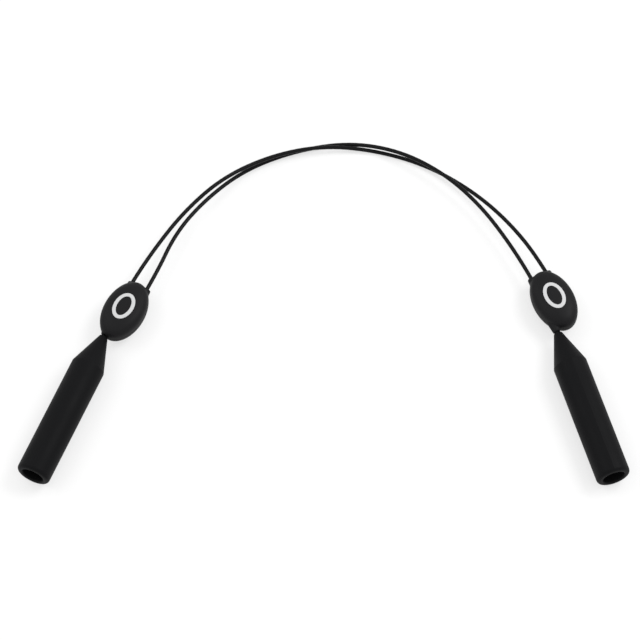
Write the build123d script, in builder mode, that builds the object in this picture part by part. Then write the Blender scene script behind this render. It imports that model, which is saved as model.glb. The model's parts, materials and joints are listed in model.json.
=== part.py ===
from build123d import *
import math
import os

# Adjustable cable eyeglass retainer, lying flat. Two coated steel cables run between two
# oval sliders. Each cable is held by a temple grip at one end, runs freely through the slider
# next to that grip, and is crimped into the slider at the far side. Millimetres, +Z up, the
# origin on the table under the middle of the grips and sliders.

# ---- Driving dimensions ------------------------------------------------------------------
axis_height = 5.0         # all bores lie at the height of a grip's axis
cable_radius = 0.6        # nylon-coated wire rope, 1.2 mm overall
bend_radius = 150.0       # the cables' bend along each slider's 40 mm of travel

grip_radius = 5.0
grip_length = 48.3
cone_length = 10.8
tip_radius = 1.25
mouth_radius = 3.2        # bore for the temple tip
mouth_depth = 34.0
mouth_rounding = 1.1
bore_edge = 0.4
seat_radius = 2.2         # pocket behind the bore that holds the washer and the crimp
seat_start = 5.7          # the pocket's floor, from the grip's tip
cable_hole_radius = 0.75

washer_radius = 2.1
washer_thickness = 0.6
crimp_bore_radius = 0.66
grip_crimp_radius = 1.1
grip_crimp_length = 5.0
fit_gap = 0.05

slider_half_length = 9.8
slider_half_width = 6.1
slider_half_height = 3.8
slider_rounding = 2.9
socket_offset = 2.5       # the crimped cable, to the right of the slider's middle line
port_radius = 1.2         # low collar round each cable where it leaves the slider
port_start = 6.0
arc_port_end = 9.3
grip_port_end = 9.6
hollow_overrun = 1.3      # the hollows run past the collars by this factor
channel_radius = 0.85
liner_radius = 1.3
liner_length = 7.0
slider_crimp_radius = 1.2
slider_crimp_length = 6.0
slider_crimp_middle = -1.0
cable_end_in_slider = -2.2
dowel_radius = 0.6
dowel_length = 1.3
dowel_place = 6.2
dowel_end_gap = 0.2

# Each side: the point where the cable leaves the grip, the bend's tangent there, the grip's
# own direction, which way the cable bends (1 is to the left), and the slider's middle and
# direction. Directions are in degrees from +X towards +Y.
sides = {
    "left": {"tip": (-63.9, 11.7), "tangent": 69.8, "lean": 66.8, "turn": -1,
             "middle": (-58.1, 20.0), "axis": 62.8},
    "right": {"tip": (68.2, 12.8), "tangent": 108.3, "lean": 107.5, "turn": 1,
              "middle": (67.3, 23.5), "axis": 115.1},
}

# The routes, each from the crimp in its own grip to the crimp in the far slider. They lie
# level along the slider's travel, come down to the table in the middle and cross twice.
left_cable_route = [
    (-68.2, 1.6, 5.0), (-63.9, 11.7, 5.0), (-57.8, 26.5, 5.0), (-50.0, 40.5, 5.0),
    (-41.0, 53.7, 5.0), (-29.8, 65.0, 5.0), (-15.5, 73.5, 3.2), (0.0, 77.3, 2.5),
    (16.0, 76.6, 0.7), (31.0, 71.5, 0.7), (44.0, 62.0, 2.6), (54.5, 50.5, 4.6),
    (63.6, 37.2, 5.0), (70.5, 22.6, 5.0),
]
right_cable_route = [
    (71.5, 2.3, 5.0), (68.2, 12.8, 5.0), (62.6, 27.8, 5.0), (55.3, 42.0, 5.0),
    (46.6, 55.4, 5.0), (35.8, 66.5, 5.0), (22.5, 75.0, 3.6), (7.5, 79.4, 0.7),
    (-8.5, 76.5, 0.7), (-23.5, 70.0, 0.7), (-35.0, 59.0, 2.4), (-43.7, 46.4, 4.4),
    (-49.5, 31.3, 5.0), (-56.9, 16.9, 5.0),
]

os.makedirs("parts", exist_ok=True)


def direction(degrees):
    return Vector(math.cos(math.radians(degrees)), math.sin(math.radians(degrees)), 0)


def save(part, name):
    part.label = name
    export_step(part, f"parts/{name}.step")


# ---- Where each side's pieces stand ------------------------------------------------------
def bend_centre(side):
    """The centre of the bend that the side's slider runs along."""
    tip = Vector(*side["tip"], axis_height)
    return tip + direction(side["tangent"] + 90 * side["turn"]) * bend_radius


def slider_plane(side):
    """The slider's middle, X towards the arc, Y towards the running cable's bore."""
    middle = Vector(*side["middle"], axis_height)
    return Plane(middle, x_dir=direction(side["axis"]), z_dir=(0, 0, 1))


def bore_offset(side, along):
    """How far left of the slider's middle line its running bore lies, at a place along it."""
    centre = slider_plane(side).to_local_coords(bend_centre(side))
    return centre.Y - side["turn"] * math.sqrt(bend_radius**2 - (along - centre.X) ** 2)


def bore_plane(side):
    """The middle of the slider's running bore, with Z along the bore."""
    place = slider_plane(side)
    origin = place.from_local_coords((0, bore_offset(side, 0), 0))
    outwards = (origin - bend_centre(side)).normalized()
    return Plane(origin, x_dir=outwards, z_dir=outwards.cross(Vector(0, 0, -side["turn"])))


def grip_plane(side):
    """The grip's tip, with Z along the grip towards its open mouth."""
    tip = Vector(*side["tip"], axis_height)
    return Plane(tip, x_dir=(0, 0, 1), z_dir=direction(side["lean"]) * -1)


# ---- Cables ------------------------------------------------------------------------------
def make_cable(name, route):
    points = [Vector(*point) for point in route]
    runs = [points[i + 1] - points[i] for i in range(len(points) - 1)]
    radii = []
    for before, after in zip(runs, runs[1:]):
        half_turn = math.radians(before.get_angle(after)) / 2
        radii.append(0.45 * min(before.length, after.length) / math.tan(half_turn))
    with BuildPart() as cable:
        with BuildLine() as path:
            FilletPolyline(*points, radius=radii)
        with BuildSketch(Plane(points[0], z_dir=runs[0])):
            Circle(cable_radius)
        sweep(path=path.wire())
    length = path.wire().length
    print(name, "length", round(length, 1), "radii", [round(r) for r in radii],
          "runs", [round(run.length, 1) for run in runs],
          "volume ratio", round(cable.part.volume / (length * math.pi * cable_radius**2), 4))
    save(cable.part, name)


make_cable("left_cable", left_cable_route)
make_cable("right_cable", right_cable_route)


# ---- Temple grips ------------------------------------------------------------------------
def make_grip(name, place):
    """A moulded silicone sleeve, turned about its axis, with a stepped bore from the mouth."""
    seat_end = grip_length - mouth_depth
    with BuildPart() as grip:
        with BuildSketch(Plane(place.origin, x_dir=place.x_dir, z_dir=place.y_dir * -1)):
            with BuildLine():
                Polyline(
                    (cable_hole_radius, 0),
                    (tip_radius, 0),
                    (grip_radius, cone_length),
                    (grip_radius, grip_length),
                    (mouth_radius, grip_length),
                    (mouth_radius, seat_end),
                    (seat_radius, seat_end),
                    (seat_radius, seat_start),
                    (cable_hole_radius, seat_start),
                    close=True,
                )
            make_face()
        revolve(axis=Axis(place.origin, place.z_dir))
        mouth_edges = grip.edges().filter_by(GeomType.CIRCLE).group_by(
            lambda edge: round((edge.arc_center - place.origin).dot(place.z_dir), 3))[-1]
        outer = mouth_edges.sort_by(SortBy.RADIUS)[-1]
        inner = mouth_edges.sort_by(SortBy.RADIUS)[0]
        fillet(outer, radius=mouth_rounding)
        chamfer(inner, length=bore_edge)
    save(grip.part, name)


def make_ring(name, place, start, length, outer, inner):
    """A plain tube or washer on the place's Z axis."""
    with BuildPart() as ring:
        with BuildSketch(place.offset(start)):
            Circle(outer)
            Circle(inner, mode=Mode.SUBTRACT)
        extrude(amount=length)
    save(ring.part, name)


for name, side in sides.items():
    place = grip_plane(side)
    make_grip(f"{name}_grip", place)
    washer_start = seat_start + fit_gap
    make_ring(f"{name}_grip_washer", place, washer_start, washer_thickness,
              washer_radius, cable_hole_radius)
    make_ring(f"{name}_grip_crimp", place, washer_start + washer_thickness,
              grip_crimp_length, grip_crimp_radius, crimp_bore_radius)


# ---- Sliders -----------------------------------------------------------------------------
def make_hollows(side, place):
    """Everything cut out of a slider: the running channel and the crimped cable's socket."""
    bore = bore_plane(side)
    channel_arc = math.degrees(hollow_overrun * arc_port_end / bend_radius)
    with BuildPart() as hollows:
        for turn_axis in ((0, 0, 1), (0, 0, -1)):
            with BuildSketch(bore):
                Circle(channel_radius)
            revolve(axis=Axis(bend_centre(side), turn_axis), revolution_arc=channel_arc)
        with BuildSketch(bore.offset(-liner_length / 2 - fit_gap)):
            Circle(liner_radius + fit_gap)
        extrude(amount=liner_length + 2 * fit_gap)
        across = Plane(place.origin, x_dir=place.y_dir, z_dir=place.x_dir)
        with BuildSketch(across.offset(cable_end_in_slider)):
            with Locations((-socket_offset, 0)):
                Circle(cable_hole_radius)
        extrude(amount=hollow_overrun * arc_port_end - cable_end_in_slider)
        crimp_start = slider_crimp_middle - slider_crimp_length / 2
        with BuildSketch(across.offset(crimp_start - fit_gap)):
            with Locations((-socket_offset, 0)):
                Circle(slider_crimp_radius + fit_gap)
        extrude(amount=slider_crimp_length + 2 * fit_gap)
    return hollows.part


def make_shell(name, side, place, hollows, upwards):
    """One half of the oval slider, parted at the height of its bores."""
    dowels = [(dowel_place, 0), (-dowel_place, 0)]
    with BuildPart() as shell:
        with BuildSketch(place):
            Ellipse(slider_half_length, slider_half_width)
        extrude(amount=upwards * slider_half_height)
        rim = shell.faces().sort_by(Axis.Z)[-1 if upwards > 0 else 0].edges()
        fillet(rim, radius=slider_rounding)
        across = Plane(place.origin, x_dir=place.y_dir, z_dir=place.x_dir)
        ports = [
            (bore_offset(side, arc_port_end), 1, arc_port_end),
            (-socket_offset, 1, arc_port_end),
            (bore_offset(side, -grip_port_end), -1, grip_port_end),
        ]
        for offset, end, reach in ports:
            with BuildSketch(across.offset(end * port_start)):
                with Locations((offset, 0)):
                    Circle(port_radius)
            extrude(amount=end * (reach - port_start))
        split(bisect_by=place, keep=Keep.TOP if upwards > 0 else Keep.BOTTOM)
        add(hollows, mode=Mode.SUBTRACT)
        with BuildSketch(place):
            with Locations(*dowels):
                Circle(dowel_radius if upwards < 0 else dowel_radius + fit_gap)
        if upwards < 0:
            extrude(amount=dowel_length)
        else:
            extrude(amount=dowel_length + dowel_end_gap, mode=Mode.SUBTRACT)
    save(shell.part, name)


for name, side in sides.items():
    place = slider_plane(side)
    hollows = make_hollows(side, place)
    make_shell(f"{name}_slider_top", side, place, hollows, 1)
    make_shell(f"{name}_slider_base", side, place, hollows, -1)
    across = Plane(place.origin, x_dir=place.y_dir, z_dir=place.x_dir)
    socket = across.shift_origin(place.from_local_coords((0, -socket_offset, 0)))
    make_ring(f"{name}_slider_liner", bore_plane(side), -liner_length / 2, liner_length,
              liner_radius, channel_radius)
    make_ring(f"{name}_slider_crimp", socket, slider_crimp_middle - slider_crimp_length / 2,
              slider_crimp_length, slider_crimp_radius, crimp_bore_radius)
    print(name, "bend centre", bend_centre(side), "bore offsets",
          [round(bore_offset(side, along), 2) for along in (-10, 0, 10)])
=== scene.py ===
import json
import math

import bmesh
import bpy
from mathutils import Matrix, Vector
from mathutils.bvhtree import BVHTree


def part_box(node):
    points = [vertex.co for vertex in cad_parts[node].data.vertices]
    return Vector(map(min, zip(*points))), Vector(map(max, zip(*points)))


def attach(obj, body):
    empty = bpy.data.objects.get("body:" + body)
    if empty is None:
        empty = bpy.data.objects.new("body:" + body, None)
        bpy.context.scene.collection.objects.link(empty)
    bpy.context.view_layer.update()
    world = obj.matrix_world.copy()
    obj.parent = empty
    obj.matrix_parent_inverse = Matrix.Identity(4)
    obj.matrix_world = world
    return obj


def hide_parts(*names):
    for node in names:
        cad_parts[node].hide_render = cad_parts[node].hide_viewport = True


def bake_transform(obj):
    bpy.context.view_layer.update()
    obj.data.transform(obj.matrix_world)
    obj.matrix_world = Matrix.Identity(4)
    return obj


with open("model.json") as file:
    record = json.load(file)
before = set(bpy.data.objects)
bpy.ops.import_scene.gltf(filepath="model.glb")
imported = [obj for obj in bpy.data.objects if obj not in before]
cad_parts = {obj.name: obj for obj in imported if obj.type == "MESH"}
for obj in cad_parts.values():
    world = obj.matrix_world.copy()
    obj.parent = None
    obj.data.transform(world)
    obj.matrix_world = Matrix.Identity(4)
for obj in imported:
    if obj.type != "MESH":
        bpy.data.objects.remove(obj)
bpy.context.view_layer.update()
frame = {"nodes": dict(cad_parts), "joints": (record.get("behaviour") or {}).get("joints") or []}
mm = 0.001

# ---- Camera ------------------------------------------------------------------------------
# The strap lies flat on the table, arc away from the viewer, and is seen from steeply above
# its open side with a long lens.
view_elevation = math.radians(62.9)
view_distance = 1.0
view_target = Vector((-1.0, 19.8, 0)) * mm

camera = bpy.data.objects.new("camera", bpy.data.cameras.new("camera"))
bpy.context.scene.collection.objects.link(camera)
camera.data.sensor_width = 36
camera.data.lens = 191.9
towards_viewer = Vector((0, -math.cos(view_elevation), math.sin(view_elevation)))
camera.location = view_target + towards_viewer * view_distance
camera.rotation_euler = (math.pi / 2 - view_elevation, 0, 0)
bpy.context.scene.camera = camera

# ---- Cables ------------------------------------------------------------------------------
# Two 1.2 mm steel wire ropes under a thin black nylon coat, satin, with the rope's strands
# just showing through. Each is crimped in its own grip, runs through the slider beside that
# grip and is crimped in the far slider. They cross twice on their way over the arc.
cable_diameter = 1.2 * mm
strands = 6
strand_relief = 0.02 * mm
strand_pitch = 12 * mm
coat_colour = (0.005, 0.005, 0.0055)

left_cable_route = [
    (-0.0682, 0.0016, 0.005), (-0.0639, 0.0117, 0.005), (-0.0578, 0.0265, 0.005),
    (-0.0500, 0.0405, 0.005), (-0.0410, 0.0537, 0.005), (-0.0298, 0.0650, 0.005),
    (-0.0155, 0.0735, 0.0032), (0.0000, 0.0773, 0.0025), (0.0160, 0.0766, 0.0007),
    (0.0310, 0.0715, 0.0007), (0.0440, 0.0620, 0.0026), (0.0545, 0.0505, 0.0046),
    (0.0636, 0.0372, 0.005), (0.0705, 0.0226, 0.005),
]
right_cable_route = [
    (0.0715, 0.0023, 0.005), (0.0682, 0.0128, 0.005), (0.0626, 0.0278, 0.005),
    (0.0553, 0.0420, 0.005), (0.0466, 0.0554, 0.005), (0.0358, 0.0665, 0.005),
    (0.0225, 0.0750, 0.0036), (0.0075, 0.0794, 0.0007), (-0.0085, 0.0765, 0.0007),
    (-0.0235, 0.0700, 0.0007), (-0.0350, 0.0590, 0.0024), (-0.0437, 0.0464, 0.0044),
    (-0.0495, 0.0313, 0.005), (-0.0569, 0.0169, 0.005),
]


def smooth_line(route):
    """The points of the smooth curve that a route's points control."""
    curve = bpy.data.curves.new("route", "CURVE")
    curve.dimensions = "3D"
    spline = curve.splines.new("NURBS")
    spline.points.add(len(route) - 1)
    for point, place in zip(spline.points, route):
        point.co = (*place, 1)
    spline.order_u = 3
    spline.use_endpoint_u = True
    spline.resolution_u = 60
    holder = bpy.data.objects.new("route", curve)
    mesh = bpy.data.meshes.new_from_object(holder)
    line = [vertex.co.copy() for vertex in mesh.vertices]
    bpy.data.objects.remove(holder)
    bpy.data.curves.remove(curve)
    bpy.data.meshes.remove(mesh)
    return line


corner_angle = math.radians(38)          # faces that meet more sharply show a corner


def new_piece(name, bm):
    """A shown piece from a bmesh, shaded smooth except across its real corners."""
    bmesh.ops.recalc_face_normals(bm, faces=bm.faces)
    mesh = bpy.data.meshes.new(name)
    bm.to_mesh(mesh)
    bm.free()
    mesh.shade_smooth()
    mesh.set_sharp_from_angle(angle=corner_angle)
    piece = bpy.data.objects.new(name, mesh)
    bpy.context.scene.collection.objects.link(piece)
    return piece


def add_tube(bm, line, radius, around=36, relief=0.0, turns_per_metre=0.0, start=0.0):
    """A closed tube along a level line, with strands raised in a helix where relief is set."""
    rings = []
    run = start
    for i, centre in enumerate(line):
        ahead = line[min(i + 1, len(line) - 1)] - line[max(i - 1, 0)]
        across = ahead.cross(Vector((0, 0, 1))).normalized()
        up = across.cross(ahead).normalized()
        run += (centre - line[i - 1]).length if i else 0
        ring = []
        for k in range(around):
            angle = 2 * math.pi * k / around
            lay = strands * (angle - 2 * math.pi * run * turns_per_metre)
            out = radius - relief * (0.5 - 0.5 * math.cos(lay))
            ring.append(bm.verts.new(centre + (across * math.cos(angle) + up * math.sin(angle)) * out))
        rings.append(ring)
    for near, far in zip(rings, rings[1:]):
        for k in range(around):
            bm.faces.new((near[k - 1], near[k], far[k], far[k - 1]))
    bm.faces.new(rings[0])
    bm.faces.new(reversed(rings[-1]))


def surface(name, colour, roughness, grain, relief, mottle=0.2, metallic=0.0, specular=0.5,
            patch=4 * mm):
    """A procedural finish: coarse noise varies colour and gloss, fine noise raises a grain."""
    material = bpy.data.materials.new(name)
    material.use_nodes = True
    nodes, links = material.node_tree.nodes, material.node_tree.links
    shader = nodes["Principled BSDF"]
    shader.inputs["Metallic"].default_value = metallic
    shader.inputs["Specular IOR Level"].default_value = specular
    place = nodes.new("ShaderNodeTexCoord")
    coarse = nodes.new("ShaderNodeTexNoise")
    coarse.inputs["Scale"].default_value = 1 / patch
    coarse.inputs["Detail"].default_value = 4
    fine = nodes.new("ShaderNodeTexNoise")
    fine.inputs["Scale"].default_value = 1 / grain
    fine.inputs["Detail"].default_value = 3
    links.new(place.outputs["Object"], coarse.inputs["Vector"])
    links.new(place.outputs["Object"], fine.inputs["Vector"])
    tint = nodes.new("ShaderNodeMix")
    tint.data_type = "RGBA"
    tint.inputs[6].default_value = (*[c * (1 - mottle) for c in colour], 1)
    tint.inputs[7].default_value = (*[c * (1 + mottle) for c in colour], 1)
    links.new(coarse.outputs["Fac"], tint.inputs[0])
    links.new(tint.outputs[2], shader.inputs["Base Color"])
    gloss = nodes.new("ShaderNodeMapRange")
    gloss.inputs["From Min"].default_value = 0.3
    gloss.inputs["From Max"].default_value = 0.7
    gloss.inputs["To Min"].default_value = roughness - 0.06
    gloss.inputs["To Max"].default_value = roughness + 0.06
    links.new(coarse.outputs["Fac"], gloss.inputs["Value"])
    links.new(gloss.outputs["Result"], shader.inputs["Roughness"])
    bump = nodes.new("ShaderNodeBump")
    bump.inputs["Strength"].default_value = 0.6
    bump.inputs["Distance"].default_value = relief
    links.new(fine.outputs["Fac"], bump.inputs["Height"])
    links.new(bump.outputs["Normal"], shader.inputs["Normal"])
    return material


coated_cable = surface("coated_cable", coat_colour, roughness=0.36, grain=0.3 * mm,
                       relief=0.01 * mm, specular=0.1)

for side, far_side, route in (
    ("left", "right", left_cable_route),
    ("right", "left", right_cable_route),
):
    line = smooth_line(route)
    in_grip = (Vector(route[1]) - Vector(route[0])).length
    neck = next(i for i, point in enumerate(line) if (point - line[0]).length > in_grip)
    pieces = []
    for name, points, start in (
        (f"{side}_cable_over_arc", line[neck:], in_grip),
        (f"{side}_cable_in_grip", line[: neck + 1], 0.0),
    ):
        bm = bmesh.new()
        add_tube(bm, points, cable_diameter / 2, relief=strand_relief,
                 turns_per_metre=1 / strand_pitch, start=start)
        piece = new_piece(name, bm)
        piece.data.materials.append(coated_cable)
        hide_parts(f"{side}_cable")
        pieces.append(piece)
    over_arc, inside_grip = pieces
    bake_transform(over_arc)
    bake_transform(inside_grip)

# ---- Temple grips ------------------------------------------------------------------------
# Soft black silicone sleeves, moulded in one piece: a straight body, a crisp shoulder, a cone
# down to the cable, and a thick rounded lip round the bore that stretches over a temple tip.
# The cable's crimp seats on a washer deep inside. Two fine parting lines run along each.
grip_length = 48.3 * mm
grip_radius = 5 * mm
bore_radius = 3.2 * mm
bore_end = 14.3 * mm          # from the tip
seat_radius = 2.2 * mm
seat_end = 5.7 * mm
cone_length = 10.8 * mm
tip_radius = 1.25 * mm
cable_hole = 0.75 * mm
washer_middle = 6.05 * mm
parting_height = 0.05 * mm
parting_width = 0.18 * mm
silicone_colour = (0.0045, 0.0046, 0.0052)

# Distance from the tip, radius, and how far each corner is rounded.
grip_outline = [
    (0, cable_hole, 0.1 * mm),
    (0, tip_radius, 0.25 * mm),
    (cone_length, grip_radius, 0.9 * mm),
    (grip_length, grip_radius, 1.25 * mm),
    (grip_length, bore_radius, 0.6 * mm),
    (bore_end, bore_radius, 0.3 * mm),
    (bore_end - 0.9 * mm, seat_radius, 0.3 * mm),
    (seat_end, seat_radius, 0.2 * mm),
    (seat_end, cable_hole, 0.1 * mm),
]


def rounded(corners, steps=7):
    """An outline's points, with each corner (x, y, radius) turned into a smooth curve."""
    outline = []
    for i, (x, y, radius) in enumerate(corners):
        corner = Vector((x, y))
        back = Vector(corners[i - 1][:2]) - corner
        ahead = Vector(corners[(i + 1) % len(corners)][:2]) - corner
        reach = radius / math.tan(back.angle(ahead) / 2)
        first = corner + back.normalized() * reach
        last = corner + ahead.normalized() * reach
        for step in range(steps + 1):
            t = step / steps
            outline.append(first.lerp(corner, t).lerp(corner.lerp(last, t), t))
    return outline


def add_turned(bm, outline, place, around=160, swell=None):
    """A closed solid of revolution about place's Z axis from (distance, radius) points."""
    rings = []
    for distance, radius in outline:
        ring = []
        for k in range(around):
            angle = 2 * math.pi * k / around
            out = radius + (swell(distance, radius, angle) if swell else 0)
            point = Vector((out * math.cos(angle), out * math.sin(angle), distance))
            ring.append(bm.verts.new(place @ point))
        rings.append(ring)
    for i, far in enumerate(rings):
        near = rings[i - 1]
        for k in range(around):
            bm.faces.new((near[k - 1], near[k], far[k], far[k - 1]))


def parting_line(distance, radius, angle):
    """The two fine ridges that the mould leaves along a grip's outside."""
    if radius < bore_radius + 0.4 * mm or distance < seat_end / 4:
        return 0
    off = math.asin(abs(math.cos(angle))) * radius
    return parting_height * math.exp(-((off / parting_width) ** 2))


def joint(name):
    """One of the model's joints, by name."""
    return next(entry for entry in frame["joints"] if entry["name"] == name)


def middle_of(node):
    """The middle of a part of the model, at rest."""
    low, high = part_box(node)
    return (low + high) / 2


silicone = surface("silicone", silicone_colour, roughness=0.56, grain=0.22 * mm,
                   relief=0.012 * mm, mottle=0.18, specular=0.08, patch=9 * mm)

for side in ("left", "right"):
    to_mouth = Vector(joint(f"{side}_grip_travel")["axis"]).normalized()
    tip = middle_of(f"{side}_grip_washer") - to_mouth * washer_middle
    turned = Matrix.Translation(tip) @ to_mouth.to_track_quat("Z", "Y").to_matrix().to_4x4()
    bm = bmesh.new()
    add_turned(bm, rounded(grip_outline), turned, swell=parting_line)
    grip = new_piece(f"{side}_grip_sleeve", bm)
    grip.data.materials.append(silicone)
    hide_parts(f"{side}_grip")
    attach(grip, f"{side}_grip")

# ---- Sliders -----------------------------------------------------------------------------
# Oval toggles in two halves, hard plastic under a soft-touch black coat: a pebble with a
# flattish top, and a short raised collar round each cable. Inside are the running cable's
# channel with its rubber liner's pocket, and the socket of the crimped cable.
slider_axis = {"left": 62.8, "right": 115.1}      # degrees from +X, towards the arc
half_length = 9.8 * mm
half_width = 6.1 * mm
half_height = 3.8 * mm
section_power = 0.66          # under 1 squares the pebble's section off
socket_offset = 2.5 * mm
crimp_middle = -1 * mm
arc_collar = 9.4 * mm
grip_collar = 9.6 * mm
collar_root = 5 * mm
collar_radius = 1.2 * mm
seam_gap = 0.02 * mm
seam_draft = 0.07 * mm
seam_rim = 0.93               # the share of the way out at which a half's rim begins
bend_radius = 150 * mm
channel_radius = 0.85 * mm    # the running cable's, right through
liner_radius = 1.35 * mm
liner_reach = 3.55 * mm
socket_radius = 0.75 * mm     # the crimped cable's, in from the arc
socket_start = -2.5 * mm
crimp_radius = 1.25 * mm
crimp_start = -4.05 * mm
crimp_end = 2.05 * mm
past_shell = 13               # millimetres, clear of the body at both ends
soft_touch_colour = (0.0085, 0.0085, 0.0093)


def slider_place(side):
    """The slider's own axes: X towards the arc, Y towards its running cable, Z up."""
    turn = Matrix.Rotation(math.radians(slider_axis[side]), 4, "Z")
    crimp = Matrix.Translation(middle_of(f"{side}_slider_crimp"))
    return crimp @ turn @ Matrix.Translation((-crimp_middle, socket_offset, 0))


def bore_offset(side, along):
    """How far to the left of the slider's middle line its running bore lies, at a place on it."""
    centre = slider_place(side).inverted() @ Vector(joint(f"{side}_slider_travel")["pos_m"])
    bulge = math.sqrt(bend_radius**2 - (along - centre.x) ** 2)
    return centre.y + (bulge if side == "left" else -bulge)


def collar_outline(reach):
    """A low collar that runs out of the body: (distance from the middle, radius, rounding)."""
    return [
        (collar_root, 0.2 * mm, 0.05 * mm),
        (collar_root, 1.5 * mm, 0.3 * mm),
        (reach, collar_radius, 0.35 * mm),
        (reach, 0.2 * mm, 0.05 * mm),
    ]


def add_pebble(bm):
    """A closed oval with a squared-off section, wide faces up and down."""
    around, rings = 120, 56
    loops = []
    for i in range(1, rings):
        lift = math.pi * (i / rings - 0.5)
        in_plan = math.cos(lift) ** section_power
        height = math.copysign(abs(math.sin(lift)) ** section_power, lift) * half_height
        loops.append([
            bm.verts.new((
                half_length * in_plan * math.cos(2 * math.pi * k / around),
                half_width * in_plan * math.sin(2 * math.pi * k / around),
                height,
            ))
            for k in range(around)
        ])
    for near, far in zip(loops, loops[1:]):
        for k in range(around):
            bm.faces.new((near[k - 1], near[k], far[k], far[k - 1]))
    bm.faces.new(loops[0])
    bm.faces.new(reversed(loops[-1]))


def apply_modifiers(piece):
    """Makes what a piece's modifiers give its own mesh."""
    mesh = bpy.data.meshes.new_from_object(
        piece.evaluated_get(bpy.context.evaluated_depsgraph_get()))
    piece.modifiers.clear()
    piece.data = mesh


def cut(piece, cutter):
    """Takes one solid out of another and uses it up."""
    boolean = piece.modifiers.new("cut", "BOOLEAN")
    boolean.operation = "DIFFERENCE"
    boolean.solver = "EXACT"
    boolean.object = cutter
    apply_modifiers(piece)
    bpy.data.objects.remove(cutter)


def make_pebble(side):
    """The whole slider in its own axes, solid, its collars run smoothly into the body."""
    bm = bmesh.new()
    add_pebble(bm)
    for end, reach, offset in (
        (1, arc_collar, bore_offset(side, arc_collar)),
        (1, arc_collar, -socket_offset),
        (-1, grip_collar, bore_offset(side, -grip_collar)),
    ):
        outwards = Vector((end, 0, 0)).to_track_quat("Z", "Y").to_matrix().to_4x4()
        place = Matrix.Translation((0, offset, 0)) @ outwards
        add_turned(bm, rounded(collar_outline(reach)), place, around=48)
    body = new_piece(f"{side}_pebble", bm)
    remesh = body.modifiers.new("skin", "REMESH")
    remesh.mode = "VOXEL"
    remesh.voxel_size = 0.2 * mm
    soften = body.modifiers.new("soften", "SMOOTH")
    soften.factor = 0.5
    soften.iterations = 8
    apply_modifiers(body)
    return body


def make_half(name, pebble, upwards):
    """One half of the slider, parted just off the middle of its bores and closed there."""
    bm = bmesh.new()
    bm.from_mesh(pebble.data)
    parted = bmesh.ops.bisect_plane(
        bm, geom=bm.verts[:] + bm.edges[:] + bm.faces[:],
        plane_co=(0, 0, upwards * seam_gap), plane_no=(0, 0, upwards), clear_inner=True)
    rim = [edge for edge in parted["geom_cut"] if isinstance(edge, bmesh.types.BMEdge)]
    bmesh.ops.edgeloop_fill(bm, edges=rim)
    return new_piece(name, bm)


def cut_hollows(half, side):
    """Bores a half for the running cable and its liner, the crimped cable and its crimp."""
    steps = range(-past_shell, past_shell + 1)
    channel = [Vector((x * mm, bore_offset(side, x * mm), 0)) for x in steps]
    pocket = [Vector((x, bore_offset(side, x), 0)) for x in (-liner_reach, liner_reach)]
    socket = [Vector((x, -socket_offset, 0)) for x in (socket_start, past_shell * mm)]
    crimp_seat = [Vector((x, -socket_offset, 0)) for x in (crimp_start, crimp_end)]
    for line, radius in (
        (channel, channel_radius),
        (pocket, liner_radius),
        (socket, socket_radius),
        (crimp_seat, crimp_radius),
    ):
        bm = bmesh.new()
        add_tube(bm, line, radius, around=32)
        cut(half, new_piece("hollow", bm))


soft_touch = surface("soft_touch", soft_touch_colour, roughness=0.52, grain=0.16 * mm,
                     relief=0.01 * mm, mottle=0.12, specular=0.12, patch=6 * mm)
printed_tops = {}             # each slider's top, which the mark is printed on
for side in ("left", "right"):
    place = slider_place(side)
    pebble = make_pebble(side)
    for half, upwards in (("top", 1), ("base", -1)):
        shell = make_half(f"{side}_slider_{half}_shell", pebble, upwards)
        cut_hollows(shell, side)
        for vertex in shell.data.vertices:
            x, y, z = vertex.co
            on_seam = abs(abs(z) - seam_gap) < 0.001 * mm
            if on_seam and math.hypot(x / half_length, y / half_width) > seam_rim:
                vertex.co -= Vector((x, y * 2, 0)).normalized() * seam_draft
        shell.data.transform(place)
        shell.data.shade_smooth()
        shell.data.set_sharp_from_angle(angle=corner_angle)
        shell.data.materials.clear()
        shell.data.materials.append(soft_touch)
        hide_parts(f"{side}_slider_{half}")
        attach(shell, f"{side}_slider")
        if half == "top":
            printed_tops[side] = shell
    bpy.data.objects.remove(pebble)

# ---- Slider marks ------------------------------------------------------------------------
# A plain oval ring, pad printed in light grey ink on each slider's top. It follows the dome
# and stands a few hundredths of a millimetre proud, closed underneath.
ring_outer = (4.4 * mm, 3.0 * mm)
ring_inner = (3.3 * mm, 1.95 * mm)
ink_lift = 0.025 * mm
over_dome = 10 * mm           # where the search for the dome's surface starts
ink_colour = (0.56, 0.56, 0.565)

ink = surface("pad_print_ink", ink_colour, roughness=0.55, grain=0.12 * mm,
              relief=0.006 * mm, mottle=0.05, patch=1.5 * mm)
for side in ("left", "right"):
    place = slider_place(side)
    tree = BVHTree.FromObject(printed_tops[side], bpy.context.evaluated_depsgraph_get())
    bm = bmesh.new()
    around, across = 96, 5
    loops = []
    for j in range(across + 1):
        share = j / across
        loop = []
        for k in range(around):
            angle = 2 * math.pi * k / around
            reach = [o + (i - o) * share for o, i in zip(ring_outer, ring_inner)]
            spot = Vector((reach[0] * math.cos(angle), reach[1] * math.sin(angle), over_dome))
            dome = tree.ray_cast(place @ spot, Vector((0, 0, -1)))[0]
            lift = ink_lift if 0 < j < across else 0
            loop.append(bm.verts.new(dome + Vector((0, 0, lift))))
        loops.append(loop)
    for near, far in zip(loops, loops[1:] + loops[:1]):
        for k in range(around):
            bm.faces.new((near[k - 1], near[k], far[k], far[k - 1]))
    mark = new_piece(f"{side}_slider_mark", bm)
    mark.data.materials.append(ink)
    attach(mark, f"{side}_slider")

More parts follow.
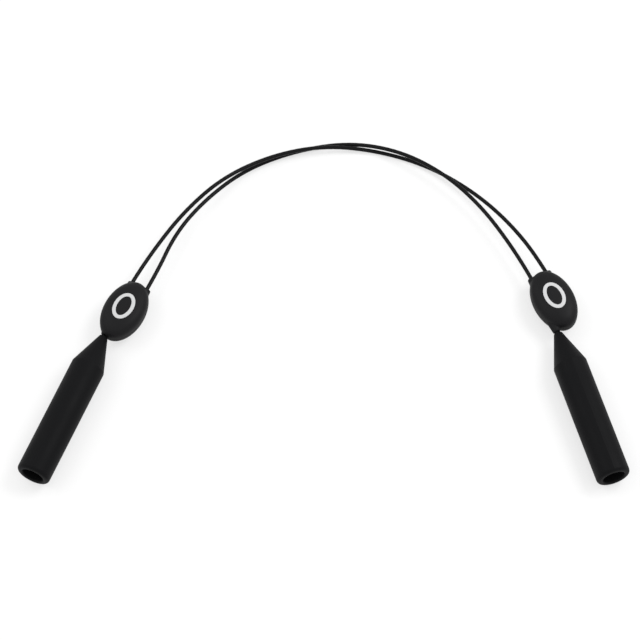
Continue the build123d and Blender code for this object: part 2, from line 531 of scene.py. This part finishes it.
# ---- Hidden fittings ---------------------------------------------------------------------
# Aluminium crimps on the cables' ends, stamped steel washers in the grips and plain rubber
# liners round the running cables, as the CAD made them, each in its own finish.
aluminium_colour = (0.62, 0.62, 0.63)
steel_colour = (0.5, 0.5, 0.51)
rubber_colour = (0.06, 0.06, 0.062)

crimped_aluminium = surface("crimped_aluminium", aluminium_colour, roughness=0.38,
                            grain=0.2 * mm, relief=0.02 * mm, metallic=1.0, patch=1 * mm)
stamped_steel = surface("stamped_steel", steel_colour, roughness=0.32,
                        grain=0.1 * mm, relief=0.01 * mm, metallic=1.0, patch=1 * mm)
liner_rubber = surface("liner_rubber", rubber_colour, roughness=0.75,
                       grain=0.15 * mm, relief=0.02 * mm, patch=2 * mm)
for side in ("left", "right"):
    for name, material in (
        ("grip_crimp", crimped_aluminium),
        ("grip_washer", stamped_steel),
        ("slider_liner", liner_rubber),
        ("slider_crimp", crimped_aluminium),
    ):
        node = frame["nodes"][f"{side}_{name}"]
        node.data.materials.clear()
        node.data.materials.append(material)

# ---- Table and light ---------------------------------------------------------------------
# A seamless white table, a bright even room, and two softboxes, left and right, whose faint
# shadows fall inwards and towards the viewer.
floor_size = 3.0
floor_colour = (0.93, 0.93, 0.93)
floor_glow = 0.62             # the share of plain white in what the camera sees of the table
room_strength = 0.85

bm = bmesh.new()
bmesh.ops.create_grid(bm, x_segments=1, y_segments=1, size=floor_size / 2)
floor = new_piece("floor", bm)
paper = bpy.data.materials.new("white_table")
paper.use_nodes = True
nodes, links = paper.node_tree.nodes, paper.node_tree.links
matt = nodes["Principled BSDF"]
matt.inputs["Base Color"].default_value = (*floor_colour, 1)
matt.inputs["Roughness"].default_value = 0.9
matt.inputs["Specular IOR Level"].default_value = 0.1
ray = nodes.new("ShaderNodeLightPath")
glossy_or_camera = nodes.new("ShaderNodeMath")
glossy_or_camera.operation = "MAXIMUM"
links.new(ray.outputs["Is Camera Ray"], glossy_or_camera.inputs[0])
links.new(ray.outputs["Is Glossy Ray"], glossy_or_camera.inputs[1])
any_view = nodes.new("ShaderNodeMath")
any_view.operation = "MAXIMUM"
links.new(glossy_or_camera.outputs[0], any_view.inputs[0])
links.new(ray.outputs["Is Transmission Ray"], any_view.inputs[1])
share = nodes.new("ShaderNodeMath")
share.operation = "MULTIPLY"
share.inputs[1].default_value = floor_glow
links.new(any_view.outputs[0], share.inputs[0])
white = nodes.new("ShaderNodeEmission")
seen = nodes.new("ShaderNodeMixShader")
links.new(share.outputs[0], seen.inputs[0])
links.new(matt.outputs[0], seen.inputs[1])
links.new(white.outputs[0], seen.inputs[2])
links.new(seen.outputs[0], nodes["Material Output"].inputs["Surface"])
floor.data.materials.append(paper)

room = bpy.data.worlds.new("room")
room.use_nodes = True
room.node_tree.nodes["Background"].inputs["Color"].default_value = (1, 1, 1, 1)
room.node_tree.nodes["Background"].inputs["Strength"].default_value = room_strength
bpy.context.scene.world = room

for name, place, width, power in (
    ("right_softbox", (0.55, 0.25, 0.75), 0.4, 3.5),
    ("left_softbox", (-0.6, 0.2, 0.7), 0.5, 1.5),
):
    light = bpy.data.lights.new(name, "AREA")
    light.shape = "SQUARE"
    light.size = width
    light.energy = power
    lamp = bpy.data.objects.new(name, light)
    bpy.context.scene.collection.objects.link(lamp)
    lamp.location = place
    lamp.rotation_euler = (view_target - Vector(place)).to_track_quat("-Z", "Y").to_euler()

bpy.context.scene.view_settings.view_transform = "Standard"
